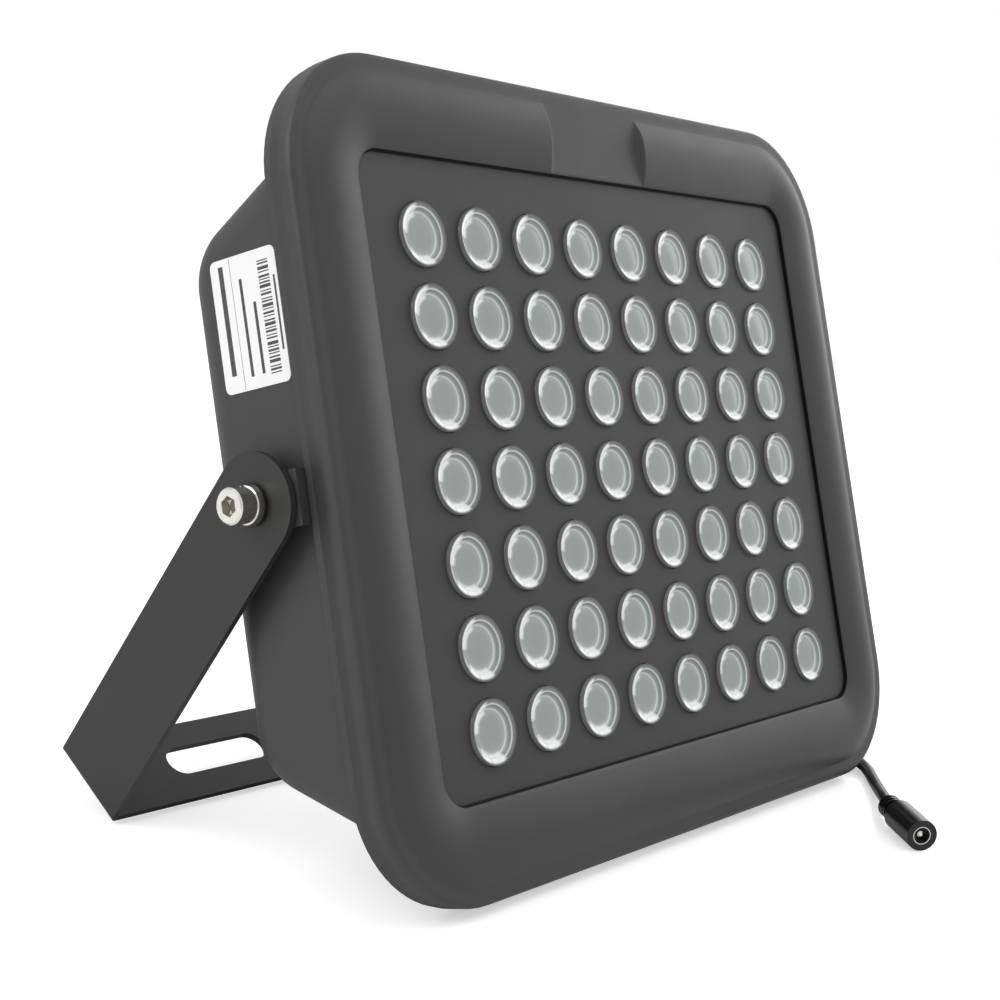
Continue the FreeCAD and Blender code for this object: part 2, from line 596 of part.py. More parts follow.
def make_driver_parts():
    """Coil, capacitors, regulator and terminal block on the driver board."""
    face = DRIVER_FACE - DRIVER_THICK
    parts = []
    coil_base = Vector(DRIVER_X + COIL_OFFSET, face, DRIVER_Z)
    parts.append(tube(COIL_DIAMETER / 2.0, COIL_BORE / 2.0, COIL_HEIGHT, coil_base, Y_AXIS * -1))
    for offset in CAPACITOR_OFFSETS:
        base = Vector(DRIVER_X + offset, face, DRIVER_Z + CAPACITOR_RISE)
        parts.append(rod(CAPACITOR_DIAMETER / 2.0, CAPACITOR_HEIGHT, base, Y_AXIS * -1))
    corner = Vector(DRIVER_X + REGULATOR_OFFSET, face - REGULATOR_HEIGHT, DRIVER_Z - REGULATOR_DROP)
    parts.append(Part.makeBox(REGULATOR_LENGTH, REGULATOR_HEIGHT, REGULATOR_WIDTH, corner))
    for side in (-1, 1):
        corner = Vector(DRIVER_X + side * TERMINAL_X - TERMINAL_LENGTH / 2.0, face - TERMINAL_HEIGHT,
                        DRIVER_Z - TERMINAL_WIDTH / 2.0)
        parts.append(Part.makeBox(TERMINAL_LENGTH, TERMINAL_HEIGHT, TERMINAL_WIDTH, corner))
    return parts


def make_driver_screws():
    return [pan_screw(M3, M3_HEAD_DIAMETER, M3_HEAD_LENGTH, DRIVER_THICK + DRIVER_SCREW_BITE,
                      Vector(x, DRIVER_FACE - DRIVER_THICK, z), Y_AXIS) for x, z in driver_holes()]


def gland_point(height):
    return Vector(GLAND_X, GLAND_DEPTH, -height)


def gland_relief():
    """Space that the board and its plate leave round the gland's inner end."""
    inner_end = min(LOCKNUT_SEAT - LOCKNUT_THICK, GLAND_FACE - GLAND_THREAD_LENGTH) - GLAND_RELIEF
    return rod(GLAND_HEX / math.sqrt(3.0) + GLAND_RELIEF, GLAND_FACE, gland_point(inner_end), Z_AXIS * -1)


def make_gland_body():
    """Threaded tube with a hexagonal flange, screwed into the pad."""
    flange = hex_prism(GLAND_HEX, GLAND_HEX_THICK, gland_point(GLAND_FACE), Z_AXIS * -1)
    thread = rod(GLAND_THREAD / 2.0 - THREAD_PLAY, GLAND_THREAD_LENGTH, gland_point(GLAND_FACE), Z_AXIS)
    collar = rod(GLAND_THREAD / 2.0 - 0.6, GLAND_COLLAR_LENGTH, gland_point(GLAND_FACE + GLAND_HEX_THICK),
                 Z_AXIS * -1)
    bore = rod(CORD_DIAMETER / 2.0 + 0.6, 40.0, gland_point(GLAND_FACE + 20.0), Z_AXIS)
    return fused([flange, thread, collar]).cut(bore)


def make_gland_nut():
    """Domed clamping nut over the seal."""
    start = GLAND_FACE + GLAND_HEX_THICK
    radius = GLAND_HEX / 2.0 - 0.6
    blank = rod(radius, GLAND_NUT_LENGTH, gland_point(start), Z_AXIS * -1)
    tip = edges_where(blank, lambda box: box.ZMax < -start - GLAND_NUT_LENGTH + 0.01)
    blank = blank.makeChamfer(1.6, tip)
    seat = rod(GLAND_THREAD / 2.0 - 0.5, 4.4, gland_point(start), Z_AXIS * -1)
    bore = rod(CORD_DIAMETER / 2.0 + 0.15, GLAND_NUT_LENGTH + 2, gland_point(start - 1), Z_AXIS * -1)
    return blank.cut(seat).cut(bore)


def make_gland_seal():
    """Rubber sleeve gripped between the nut and the collar."""
    start = GLAND_FACE + GLAND_HEX_THICK + GLAND_COLLAR_LENGTH
    return tube(GLAND_THREAD / 2.0 - 0.7, CORD_DIAMETER / 2.0 + 0.02, 1.3, gland_point(start), Z_AXIS * -1)


def make_gland_locknut():
    """Flat nut inside the housing."""
    nut = hex_prism(GLAND_HEX, LOCKNUT_THICK, gland_point(LOCKNUT_SEAT), Z_AXIS)
    return nut.cut(rod(GLAND_THREAD / 2.0, LOCKNUT_THICK + 2, gland_point(LOCKNUT_SEAT + 1.0), Z_AXIS))


def rounded_path(points, shares=0.45):
    """Wire of straight runs joined by tangent arcs, and the radii of its arcs."""
    edges, radii = [], []
    start = points[0]
    for index in range(1, len(points) - 1):
        corner = points[index]
        before, after = points[index - 1] - corner, points[index + 1] - corner
        reach = shares * min(before.Length, after.Length)
        before.normalize()
        after.normalize()
        turn = math.pi - before.getAngle(after)
        radius = reach / math.tan(turn / 2.0)
        first, last = corner + before * reach, corner + after * reach
        inward = (before + after).normalize()
        centre = corner + inward * math.hypot(radius, reach)
        middle = centre - inward * radius
        edges.append(Part.LineSegment(start, first).toShape())
        edges.append(Part.Arc(first, middle, last).toShape())
        radii.append(radius)
        start = last
    edges.append(Part.LineSegment(start, points[-1]).toShape())
    return Part.Wire(edges), radii


def swept_tube(points, diameter):
    """Plain round tube along a rounded path."""
    wire, radii = rounded_path(points)
    direction = points[1] - points[0]
    circle = Part.Circle(points[0], direction, diameter / 2.0).toShape()
    tube_shape = wire.makePipeShell([Part.Wire(circle)], True, True)
    return tube_shape, wire.Length, radii


def connector_frame():
    """Axis of the socket: its cord end, its direction and its mouth."""
    cord_end = Vector(CORD_ROUTE[-1])
    direction = (cord_end - Vector(CORD_ROUTE[-2])).normalize()
    boot_start = cord_end
    body_start = boot_start + direction * BOOT_LENGTH
    mouth = body_start + direction * CONNECTOR_LENGTH
    return boot_start, body_start, mouth, direction


def make_connector_boot():
    """Ribbed strain relief of the socket."""
    start, _, _, direction = connector_frame()
    pitch = BOOT_LENGTH / 5.0
    pieces = [rod(BOOT_DIAMETER / 2.0 - 0.6, BOOT_LENGTH, start, direction)]
    for index in range(3):
        base = start + direction * (pitch * (index + 0.6))
        pieces.append(rod(BOOT_DIAMETER / 2.0, pitch * 0.6, base, direction))
    return fused(pieces)


def make_connector_body():
    """Moulded barrel with the socket recess."""
    _, start, mouth, direction = connector_frame()
    barrel = rod(CONNECTOR_DIAMETER / 2.0, CONNECTOR_LENGTH, start, direction)
    recess = rod(SLEEVE_DIAMETER / 2.0, SOCKET_DEPTH, mouth, direction * -1)
    return barrel.cut(recess)


def make_connector_sleeve():
    _, _, mouth, direction = connector_frame()
    return tube(SLEEVE_DIAMETER / 2.0, SLEEVE_BORE / 2.0, SOCKET_DEPTH, mouth, direction * -1)


def make_connector_pin():
    _, _, mouth, direction = connector_frame()
    pin = rod(PIN_DIAMETER / 2.0, SOCKET_DEPTH - 1.0, mouth - direction * SOCKET_DEPTH, direction)
    tip = edges_where(pin, lambda box: (box.Center - (mouth - direction)).Length < 0.05)
    return pin.makeChamfer(0.5, tip)


def make_led_leads():
    """Two stiff wires from the driver's output terminal through the emitter board."""
    face = DRIVER_FACE - DRIVER_THICK - TERMINAL_HEIGHT
    start = BOARD_FRONT - 0.4
    return [rod(LEAD_DIAMETER / 2.0, face - start, Vector(x, start, z), Y_AXIS)
            for x, z in led_lead_points()]


def make_supply_leads():
    """Two wires from the end of the cord's jacket to the driver's input terminal."""
    start = -GLAND_FACE - CORD_START_DEPTH
    end = DRIVER_Z - TERMINAL_WIDTH / 2.0
    return [rod(LEAD_DIAMETER / 2.0, end - start, Vector(GLAND_X + side * LEAD_SPACING, GLAND_DEPTH, start),
                Z_AXIS) for side in (-0.5, 0.5)]


def leaned(shape, lift):
    """The head's frame leaned back and lifted onto the floor."""
    turned = shape.copy()
    turned.Placement = Placement(Vector(0, 0, lift), Rotation(X_AXIS, -LEAN)).multiply(turned.Placement)
    return turned


def lowest(shape):
    return shape.optimalBoundingBox(False, False).ZMin


# Route of the lead in the finished frame, from below the gland to the socket
CORD_ROUTE = [
    (-37.3, -43.6, 5.0), (-31.5, -45.2, 2.12), (-12.0, -46.4, 2.12), (50.0, -45.8, 2.12),
    (100.0, -46.6, 2.12), (119.5, -45.6, 2.12), (128.5, -50.0, 2.12), (131.0, -58.5, 2.12),
    (128.0, -67.0, 2.12), (119.0, -73.5, 2.12), (106.0, -77.5, 2.12), (94.4, -81.0, 3.5),
    (86.2, -86.8, 5.2), (80.8, -93.1, 5.2),
]


def write(name, shapes):
    solids = [solid for shape in shapes for solid in shape.Solids]
    target = solids[0] if len(solids) == 1 else Part.makeCompound(solids)
    target.exportStep("parts/" + name + ".step")


def build():
    head = {
        "front_bezel": [make_bezel()],
        "front_panel": [make_panel()],
        "led_lenses": make_lenses(),
        "led_emitters": make_emitters(),
        "led_board": [make_board()],
        "mounting_plate": [make_plate()],
        "board_screws": make_board_screws(),
        "plate_screws": make_plate_screws(),
        "bezel_screws": make_rim_screws(),
        "housing": [make_housing()],
        "bezel_gasket": [make_gasket()],
        "rating_label": [make_label()],
        "pivot_screws": make_pivot_screws(),
        "flat_washers": make_washers(FLAT_WASHER_DIAMETER, FLAT_WASHER_THICK, ARM_OUTER),
        "lock_washers": make_lock_washers(),
        "driver_board": [make_driver_board()],
        "driver_parts": make_driver_parts(),
        "driver_screws": make_driver_screws(),
        "gland_body": [make_gland_body()],
        "gland_nut": [make_gland_nut()],
        "gland_seal": [make_gland_seal()],
        "gland_locknut": [make_gland_locknut()],
        "led_leads": make_led_leads(),
        "supply_leads": make_supply_leads(),
    }
    lift = -min(lowest(leaned(head[name][0], 0.0)) for name in ("front_bezel", "housing"))
    pivot = leaned(Part.Vertex(0, PIVOT_DEPTH, 0), lift).Vertexes[0].Point
    half = STRIP_WIDTH / 2.0
    corner = math.hypot(BRACKET_REACH, half)
    gap = math.sqrt(max(corner ** 2 - pivot.z ** 2, 0.0))
    swing = math.degrees(math.atan2(half, BRACKET_REACH) + math.atan2(gap, pivot.z))
    bracket = make_bracket()
    bracket.Placement = Placement(pivot, Rotation(X_AXIS, swing))
    nodes = {name: [leaned(shape, lift) for shape in shapes] for name, shapes in head.items()}
    nodes["bracket"] = [bracket]
    box = Part.makeCompound([s for shapes in nodes.values() for s in shapes]).optimalBoundingBox(False, False)
    shift = Vector(0, -(box.YMin + box.YMax) / 2.0, 0)
    for shapes in nodes.values():
        for shape in shapes:
            shape.translate(shift)
    print("pivot", pivot + shift, "lift", round(lift, 3), "shift", round(shift.y, 3), "swing", round(swing, 3))
    start = leaned(Part.Vertex(gland_point(GLAND_FACE + CORD_START_DEPTH)), lift).Vertexes[0].Point + shift
    drop = Rotation(X_AXIS, -LEAN).multVec(Z_AXIS * -CORD_DROP)
    route = [start, start + drop] + [Vector(point) for point in CORD_ROUTE]
    print("cord start", route[0], route[1])
    cord, length, radii = swept_tube(route, CORD_DIAMETER)
    print("cord length", round(length, 1), "radii", [round(r, 1) for r in radii])
    section = math.pi * CORD_DIAMETER ** 2 / 4.0
    print("cord volume", round(cord.Volume, 1), "section by length", round(section * length, 1))
    nodes["power_cord"] = [cord]
    nodes["connector_boot"] = [make_connector_boot()]
    nodes["connector_body"] = [make_connector_body()]
    nodes["connector_sleeve"] = [make_connector_sleeve()]
    nodes["connector_pin"] = [make_connector_pin()]
    os.makedirs("parts", exist_ok=True)
    for name, shapes in nodes.items():
        write(name, shapes)


build()
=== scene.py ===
"""Looks of the infrared illuminator: materials, lenses, label, lead, floor, light and camera."""

import bpy
import json
import math
from mathutils import Matrix, Vector


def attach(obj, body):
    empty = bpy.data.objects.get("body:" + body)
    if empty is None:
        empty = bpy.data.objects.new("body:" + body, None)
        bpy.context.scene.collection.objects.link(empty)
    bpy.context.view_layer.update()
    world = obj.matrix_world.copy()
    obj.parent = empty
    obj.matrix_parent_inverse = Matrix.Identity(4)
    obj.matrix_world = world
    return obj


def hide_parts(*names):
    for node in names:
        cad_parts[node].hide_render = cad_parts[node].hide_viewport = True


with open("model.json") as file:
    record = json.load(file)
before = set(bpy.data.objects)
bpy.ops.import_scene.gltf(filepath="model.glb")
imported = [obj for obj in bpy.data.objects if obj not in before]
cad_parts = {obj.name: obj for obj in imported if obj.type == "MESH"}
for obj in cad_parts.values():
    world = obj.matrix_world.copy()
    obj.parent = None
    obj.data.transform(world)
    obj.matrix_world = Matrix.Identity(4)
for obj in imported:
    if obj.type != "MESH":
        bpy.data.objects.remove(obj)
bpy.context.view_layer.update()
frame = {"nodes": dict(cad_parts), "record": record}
nodes = frame["nodes"]
MM = 0.001

# Frame of the head: x across, d behind the lens rims, h above the pivot
LEAN = 20.2
PIVOT_DEPTH = 25.1
PIVOT = Vector(frame["record"]["behaviour"]["joints"][0]["pos_m"])
HEAD = Matrix.Translation(PIVOT) @ Matrix.Rotation(math.radians(-LEAN), 4, "X")


def head_point(x, d, h):
    """A point of the head's own frame, in millimetres, in the row frame in metres."""
    return HEAD @ (Vector((x, d - PIVOT_DEPTH, h)) * MM)


# Camera: its place, its directions and its focal length in pixels of the photo, which is 1000 wide
CAMERA = Vector((-0.4814, -0.3375, 0.1957))
FORWARD = Vector((0.784361, 0.595846, -0.172469))
RIGHT = Vector((0.61795, -0.7746, 0.1347))
FOCAL_PIXELS = 1813.4
PHOTO_PIXELS = 1000.0
SENSOR_WIDTH = 36.0


def make_camera():
    """The photo's own view."""
    data = bpy.data.cameras.new("camera")
    data.sensor_width = SENSOR_WIDTH
    data.lens = FOCAL_PIXELS / PHOTO_PIXELS * SENSOR_WIDTH
    data.clip_end = 100.0
    camera = bpy.data.objects.new("camera", data)
    back = -FORWARD.normalized()
    up = back.cross(RIGHT).normalized()
    right = up.cross(back)
    camera.matrix_world = Matrix((
        (right.x, up.x, back.x, CAMERA.x),
        (right.y, up.y, back.y, CAMERA.y),
        (right.z, up.z, back.z, CAMERA.z),
        (0, 0, 0, 1)))
    bpy.context.scene.collection.objects.link(camera)
    bpy.context.scene.camera = camera


class Shader:
    """A node material with a principled shader and short ways to add nodes."""

    def __init__(self, name, **values):
        self.material = bpy.data.materials.new(name)
        self.material.use_nodes = True
        self.tree = self.material.node_tree
        self.base = self.tree.nodes["Principled BSDF"]
        for key, value in values.items():
            socket = self.base.inputs[key.replace("_", " ")]
            socket.default_value = tuple(value) + (1.0,) if isinstance(value, tuple) else value
        coords = self.tree.nodes.new("ShaderNodeTexCoord")
        self.coords = coords.outputs["Object"]

    def node(self, kind, **inputs):
        made = self.tree.nodes.new(kind)
        for key, value in inputs.items():
            socket = made.inputs[key.replace("_", " ")]
            if isinstance(value, bpy.types.NodeSocket):
                self.tree.links.new(value, socket)
            else:
                socket.default_value = value
        return made

    def noise(self, scale, detail=3.0, roughness=0.5):
        return self.node("ShaderNodeTexNoise", Vector=self.coords, Scale=scale,
                         Detail=detail, Roughness=roughness).outputs["Fac"]

    def ramp(self, value, stops):
        made = self.node("ShaderNodeValToRGB", Fac=value)
        elements = made.color_ramp.elements
        for index, (place, colour) in enumerate(stops):
            if index < 2:
                element = elements[index]
                element.position = place
            else:
                element = elements.new(place)
            element.color = tuple(colour) + (1.0,)
        return made.outputs["Color"]

    def spread(self, value, low, high, start=0.0, end=1.0):
        made = self.node("ShaderNodeMapRange", Value=value)
        made.inputs["From Min"].default_value = start
        made.inputs["From Max"].default_value = end
        made.inputs["To Min"].default_value = low
        made.inputs["To Max"].default_value = high
        return made.outputs["Result"]

    def vector(self, operation, *values, output="Vector"):
        made = self.tree.nodes.new("ShaderNodeVectorMath")
        made.operation = operation
        for socket, value in zip(made.inputs, values):
            if isinstance(value, bpy.types.NodeSocket):
                self.tree.links.new(value, socket)
            else:
                socket.default_value = value
        return made.outputs[output]

    def math(self, operation, first, second):
        made = self.tree.nodes.new("ShaderNodeMath")
        made.operation = operation
        self.tree.links.new(first, made.inputs[0])
        self.tree.links.new(second, made.inputs[1])
        return made.outputs["Value"]

    def multiply(self, first, second):
        return self.math("MULTIPLY", first, second)

    def mixed(self, share, first, second):
        made = self.tree.nodes.new("ShaderNodeMix")
        made.data_type = "RGBA"
        self.tree.links.new(share, made.inputs["Factor"])
        self.tree.links.new(first, made.inputs[6])
        made.inputs[7].default_value = tuple(second) + (1.0,)
        return made.outputs[2]

    def link(self, output, name):
        self.tree.links.new(output, self.base.inputs[name])

    def bump(self, height, strength, distance):
        made = self.node("ShaderNodeBump", Height=height, Strength=strength, Distance=distance)
        self.link(made.outputs["Normal"], "Normal")


def shade(value):
    """A neutral grey."""
    return (value, value, value)


def powder_coat(name, dark, light, rough, grain, strength, tint=(1.0, 1.0, 0.98)):
    """Fine-textured satin powder coat: small orange peel, faint drift of tone and gloss."""
    coat = Shader(name, Roughness=rough, Specular_IOR_Level=0.5)
    drift = coat.noise(14.0, 4.0, 0.6)
    colours = [(0.3, tuple(dark * t for t in tint)), (0.75, tuple(light * t for t in tint))]
    coat.link(coat.ramp(drift, colours), "Base Color")
    coat.link(coat.spread(coat.noise(60.0, 3.0), rough - 0.04, rough + 0.05), "Roughness")
    coat.bump(coat.noise(grain, 3.0, 0.6), strength, 0.00006)
    return coat.material


def plated(name, colour, rough, grain=500.0, tint=(1.0, 1.0, 1.0)):
    """Bright plated metal with fine turned streaks."""
    metal = Shader(name, Metallic=1.0, Roughness=rough)
    streaks = metal.noise(grain, 2.0)
    colours = [(0.2, tuple(colour * 0.86 * t for t in tint)), (0.8, tuple(colour * t for t in tint))]
    metal.link(metal.ramp(streaks, colours), "Base Color")
    metal.link(metal.spread(streaks, rough * 0.8, rough * 1.3), "Roughness")
    metal.bump(streaks, 0.15, 0.00002)
    return metal.material


def moulded(name, dark, light, rough, grain=300.0, strength=0.12):
    """Moulded plastic or rubber with a faint grain."""
    plastic = Shader(name, Roughness=rough)
    cloud = plastic.noise(40.0, 3.0)
    plastic.link(plastic.ramp(cloud, [(0.3, dark), (0.7, light)]), "Base Color")
    plastic.bump(plastic.noise(grain, 2.0), strength, 0.00004)
    return plastic.material


def dress(name, material):
    """Give a node of the source its material."""
    target = nodes[name]
    target.data.materials.clear()
    target.data.materials.append(material)


SMOOTH_ANGLE = 38


def mesh_piece(name, verts, faces, material, body, replaced=(), smooth=True):
    """A piece of the scene's own: its mesh, material and body, and the nodes it stands for, which it
    hides.
    """
    mesh = bpy.data.meshes.new(name)
    mesh.from_pydata([tuple(v) for v in verts], [], faces)
    mesh.update()
    for polygon in mesh.polygons:
        polygon.use_smooth = smooth
    piece = bpy.data.objects.new(name, mesh)
    bpy.context.scene.collection.objects.link(piece)
    mesh.materials.append(material)
    if smooth:
        bpy.context.view_layer.objects.active = piece
        piece.select_set(True)
        bpy.ops.object.shade_auto_smooth(angle=math.radians(SMOOTH_ANGLE))
        piece.select_set(False)
    if replaced:
        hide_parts(*replaced)
    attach(piece, body)
    return piece


def revolved(profile, segments):
    """Points (a, b, depth) and faces of a profile of (radius, depth) turned about its axis."""
    verts, faces = [], []
    rings = []
    for radius, depth in profile:
        if radius == 0:
            rings.append([len(verts)])
            verts.append((0, 0, depth))
            continue
        ring = []
        for index in range(segments):
            angle = 2 * math.pi * index / segments
            ring.append(len(verts))
            verts.append((radius * math.cos(angle), radius * math.sin(angle), depth))
        rings.append(ring)
    for first, second in zip(rings, rings[1:]):
        for index in range(segments):
            after = (index + 1) % segments
            if len(first) == 1:
                faces.append((first[0], second[after], second[index]))
            elif len(second) == 1:
                faces.append((first[index], first[after], second[0]))
            else:
                faces.append((first[index], first[after], second[after], second[index]))
    return verts, faces


# Lenses: grid, sizes and profile of (radius, depth) from the middle of the disc to the rear
COLUMNS = 8
ROWS = 7
COLUMN_PITCH = 25.8
ROW_PITCH = 23.5
LENS_SIDES = 40
LENS_RADIUS = 9.42
LENS_WALL = 9.425
LENS_RIM = -0.4
LENS_REAR = 10.3
RIM_TONE_PLACE = 0.85
LENS_PROFILE = [
    (0, 1.25), (3.0, 1.3), (5.2, 1.42), (6.4, 1.52), (6.65, 1.48), (6.8, 1.3), (7.0, 1.0), (7.25, 0.68),
    (7.5, 0.4), (7.7, 0.18), (7.88, 0.06), (8.05, 0.03), (8.3, -0.1), (8.45, -0.12), (8.75, -0.28),
    (8.9, -0.3), (9.1, -0.38), (9.3, LENS_RIM), (LENS_RADIUS, LENS_RIM), (LENS_WALL, LENS_RIM + 0.001),
    (LENS_WALL, 3.9), (6.2, LENS_REAR), (0, LENS_REAR),
]
# Tones of the lens from its centre to its rim, and of its side wall at 1.0: grey-green tones of its steps,
# thin rings of painted highlight at 0.60 and 0.708, and a near-black rim ring and grey side wall painted
# in for the dark panel seen through the clear lip
LENS_RINGS_AND_HIGHLIGHTS = [
    (0.0, (0.34, 0.38, 0.37)),
    (0.40, (0.36, 0.40, 0.39)),
    (0.565, (0.48, 0.52, 0.51)),
    (0.60, (0.84, 0.88, 0.87)),
    (0.63, (0.42, 0.45, 0.44)),
    (0.66, (0.26, 0.29, 0.28)),
    (0.69, (0.34, 0.37, 0.36)),
    (0.708, (0.90, 0.93, 0.92)),
    (0.73, (0.40, 0.43, 0.42)),
    (0.76, (0.19, 0.21, 0.20)),
    (0.79, (0.21, 0.22, 0.21)),
    (0.82, (0.12, 0.125, 0.12)),
    (RIM_TONE_PLACE, (0.10, 0.105, 0.10)),
    (0.90, (0.16, 0.165, 0.16)),
    (1.0, (0.16, 0.165, 0.16)),
]
# Tones of the fans: grey, and white for the painted highlights
FAN_GREY = (0.36, 0.40, 0.39)
FAN_HIGHLIGHT = (0.97, 1.0, 0.99)
# Painted highlights: white fans of reflected light to the upper left, left, lower left and down, and a
# wide grey fan to the left that covers the rings' painted highlights there. Columns: heading, cosines of
# their half widths, the radii between which they show, and the tone
LENS_HIGHLIGHT_FANS = [
    ((-0.94, -0.34), (0.30, 0.75), (0.54, 0.58), (0.76, 0.84), FAN_GREY),
    ((-0.67, 0.74), (0.82, 0.93), (0.46, 0.53), (0.77, 0.83), FAN_HIGHLIGHT),
    ((-0.96, 0.27), (0.965, 0.988), (0.42, 0.54), (0.78, 0.84), FAN_HIGHLIGHT),
    ((-0.59, -0.80), (0.94, 0.98), (0.50, 0.58), (0.76, 0.82), FAN_HIGHLIGHT),
    ((0.03, -1.0), (0.90, 0.96), (0.50, 0.58), (0.76, 0.81), FAN_HIGHLIGHT),
]


def lens_material():
    """Clear moulded lens: tones of its steps with painted highlight rings and a dark rim painted in for
    the panel seen through it, and fans of painted highlight to the left and down.
    """
    lens = Shader("clear_lens", Roughness=0.16, IOR=1.45, Coat_Weight=0.25, Coat_Roughness=0.08)
    place = lens.node("ShaderNodeUVMap").outputs["UV"]
    reach = lens.vector("LENGTH", place, output="Value")
    heading = lens.vector("NORMALIZE", place)
    # Ring tones, with the painted highlight rings and the painted dark rim
    tone = lens.ramp(reach, LENS_RINGS_AND_HIGHLIGHTS)
    # Painted highlights: each fan's tone is mixed over the rings within its heading and radii
    for aim, width, inner, outer, colour in LENS_HIGHLIGHT_FANS:
        along = lens.vector("DOT_PRODUCT", heading, aim + (0.0,), output="Value")
        fan = lens.multiply(lens.spread(along, 0.0, 1.0, *width), lens.spread(reach, 0.0, 1.0, *inner))
        fan = lens.multiply(fan, lens.spread(reach, 1.0, 0.0, *outer))
        tone = lens.mixed(fan, tone, colour)
    lens.link(tone, "Base Color")
    lens.bump(lens.noise(420.0, 2.0), 0.05, 0.00005)
    return lens.material


def make_lenses():
    """The grid of lenses as one piece, with each point's place on its lens kept for the material."""
    material = lens_material()
    verts, faces, places = [], [], []
    flat, more_faces = revolved(LENS_PROFILE, LENS_SIDES)
    for row in range(ROWS):
        for column in range(COLUMNS):
            x = COLUMN_PITCH * (column - (COLUMNS - 1) / 2)
            h = ROW_PITCH * ((ROWS - 1) / 2 - row)
            start = len(verts)
            verts += [head_point(x + a, depth, h - b) for a, b, depth in flat]
            for a, b, depth in flat:
                on_wall = depth > LENS_RIM and math.hypot(a, b) > LENS_RADIUS
                scale = 1.0 if on_wall else RIM_TONE_PLACE
                places.append((scale * a / LENS_RADIUS, -scale * b / LENS_RADIUS))
            faces += [tuple(start + i for i in face) for face in more_faces]
    piece = mesh_piece("lens_array", verts, faces, material, "head", ("led_lenses",))
    layer = piece.data.uv_layers.new(name="lens_place")
    for loop in piece.data.loops:
        layer.data[loop.index].uv = places[loop.vertex_index]


# Front frame: sizes of the source, and its section as inset from the outer edge and depth
FRAME_WIDTH = 282.0
FRAME_HEIGHT = 236.5
FRAME_RISE = 2.4
FRAME_CORNER = 38.0
OPENING_CORNER = 9.0
BAND_SIDE = 26.0
BAND_END = 27.25
LAND_WIDTH = 5.0
LAND_DEPTH = -0.8
EDGE_ROUND = ((0.0, 0.7), (0.12, 0.1), (0.42, -0.36), (0.86, -0.68), (1.4, LAND_DEPTH))
FRAME_WALL = 4.0
FRAME_REAR = 7.0
CROWN_PEAK = 13.6
CROWN_HEIGHT = 2.5
CROWN_INSETS = (5.1, 5.6, 6.3, 7.2, 8.2, 9.4, 10.7, 12.0, 13.6, 15.4, 17.4, 19.4, 21.4, 23.2, 24.8, 25.6)
WALL_TOP = LAND_DEPTH + 0.25
PANEL_DEPTH = 0.8
SEAT_INSET = 21.7
SEAT_DEPTH = 2.8
# Width and lift of the near-black strip of painted shade along the gap round the opening
GAP_WIDTH = 0.6
GAP_LIFT = 0.04
CORNER_STEPS = 16
NOTCH_HALF = 25.1
NOTCH_FOOT = 0.16
FOOT_REACH = 4.0
NOTCH_ROUND = 0.9
NOTCH_STEPS = (14.0, 19.0, 21.0, 22.0, 22.8, 23.5, 24.1, 24.6,
               25.1, 25.25, 25.4, 25.6, 25.8, 26.0, 26.3, 28.0)
NOTCH_REGION = 60.0


def frame_ring(inset):
    """Points of the frame's outline at this inset: (x, h, True on the top band) in a fixed order."""
    side, end = FRAME_WIDTH / 2 - inset, FRAME_HEIGHT / 2 - inset
    if inset > LAND_WIDTH:
        end -= (inset - LAND_WIDTH) * (BAND_END - BAND_SIDE) / (BAND_SIDE - LAND_WIDTH)
    corner = FRAME_CORNER - inset * (FRAME_CORNER - OPENING_CORNER) / BAND_SIDE
    points = [(x, end, True) for x in [-step for step in reversed(NOTCH_STEPS)] + list(NOTCH_STEPS)]
    for quarter, (sx, sz) in enumerate(((1, 1), (1, -1), (-1, -1), (-1, 1))):
        for index in range(CORNER_STEPS + 1):
            angle = math.radians(90 - 90 * quarter - 90 * index / CORNER_STEPS)
            x = sx * (side - corner) + corner * math.cos(angle)
            points.append((x, sz * (end - corner) + corner * math.sin(angle), sz > 0))
    return points


def crown_rise(inset):
    """Height of the arched crown over the land: steep outside, gentle towards the opening."""
    if inset <= LAND_WIDTH or inset >= BAND_SIDE:
        return 0.0
    run = CROWN_PEAK - LAND_WIDTH if inset < CROWN_PEAK else BAND_SIDE - CROWN_PEAK
    return CROWN_HEIGHT * (1 - (abs(inset - CROWN_PEAK) / run) ** 2)


def notch_share(x):
    """How much of the crown stands at this x of the top band: next to none inside the notch."""
    past = abs(x) - NOTCH_HALF
    if past < 0:
        return NOTCH_FOOT * max(1 + past / FOOT_REACH, 0.0) ** 2
    return NOTCH_FOOT + (1 - NOTCH_FOOT) * math.sin(min(past / NOTCH_ROUND, 1.0) * math.pi / 2)


def joined_rings(verts, faces, rings):
    """Faces between neighbouring rings of points with the same count."""
    count = len(rings[0])
    for ring in rings:
        verts.extend(ring)
    start = len(verts) - count * len(rings)
    for ring in range(len(rings) - 1):
        for index in range(count):
            after = (index + 1) % count
            first, second = start + ring * count, start + (ring + 1) * count
            faces.append((first + index, second + index, second + after, first + after))


